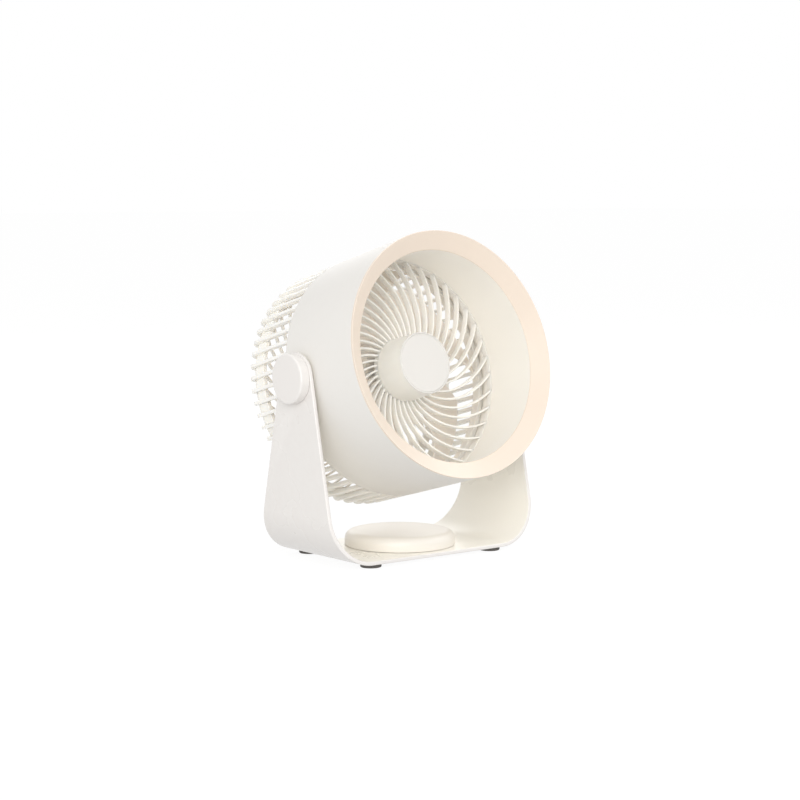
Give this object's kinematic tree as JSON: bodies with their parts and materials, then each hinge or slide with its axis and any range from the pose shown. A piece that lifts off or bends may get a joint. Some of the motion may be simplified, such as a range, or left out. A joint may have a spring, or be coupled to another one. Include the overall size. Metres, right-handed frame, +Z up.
{
  "type": "air circulator fan",
  "caption": "Desk air circulator: a drum head with a conical front lip and spiral grilles, tilting between the arms of a U-shaped stand with a round ballast pad.",
  "frame": {"origin": "on the floor under the middle of the stand", "axes": "+Z up, -Y the way the air leaves with the head level, +X to the right seen from the front"},
  "size_m": [0.2274, 0.1917, 0.2641],
  "materials": {
    "stand": "satin warm white powder coat",
    "pad": "satin warm white moulding",
    "steel": "zinc plated",
    "rubber": "matte dark grey",
    "cap": "smooth warm white moulding",
    "nylon": "natural nylon",
    "housing": "fine satin warm white moulding",
    "bezel": "smooth satin warm white moulding",
    "grille": "satin warm white moulding",
    "blade": "smooth pale peach moulding",
    "winding": "coated laminations",
    "board": "circuit board",
    "light": "clear light pipe"
  },
  "bodies": {
    "stand": {"stand_bracket": "stand", "pad_cover": "pad", "pad_weight": "steel", "pad_screw_1": "steel", "pad_screw_2": "steel", "pad_screw_3": "steel", "pad_screw_4": "steel", "foot_front_left": "rubber", "foot_front_right": "rubber", "foot_rear_left": "rubber", "foot_rear_right": "rubber", "pivot_cap_left": "cap", "pivot_cap_right": "cap", "pivot_bush_left": "nylon", "pivot_bush_right": "nylon", "tension_washer_left": "steel", "tension_washer_right": "steel"},
    "head": {"drum_housing": "housing", "front_bezel": "bezel", "front_guard": "grille", "hub_shroud": "grille", "hub_cap": "cap", "rear_cage": "grille", "rear_grille": "grille", "grille_screw_1": "steel", "grille_screw_2": "steel", "grille_screw_3": "steel", "pivot_screw_left": "steel", "pivot_screw_right": "steel", "motor_base": "steel", "motor_screw_1": "steel", "motor_screw_2": "steel", "motor_screw_3": "steel", "stator": "winding", "bearing_front": "steel", "bearing_rear": "steel", "control_board": "board", "tact_switch": "steel", "power_inlet": "steel", "status_light": "light", "rear_cover": "cap"},
    "button": {"speed_button": "cap"},
    "spinner": {"rotor_bell": "steel", "motor_shaft": "steel", "impeller": "blade", "impeller_nut": "nylon"}
  },
  "joints": [
    {"name": "head_tilt", "type": "hinge", "parent": "stand", "child": "head", "pos_m": [0, 0, 0.1488], "axis": [-1, 0, 0], "range_deg": [-45, 75]},
    {"name": "impeller_spin", "type": "hinge", "parent": "head", "child": "spinner", "pos_m": [0, 0, 0.1488], "axis": [0, -0.965, 0.2622], "continuous": true},
    {"name": "button_press", "type": "slide", "parent": "head", "child": "button", "axis": [0, -0.965, 0.2622], "range_m": [0, 0.0011], "stiffness_N_per_m": 1200, "springref_m": -0.001}
  ]
}
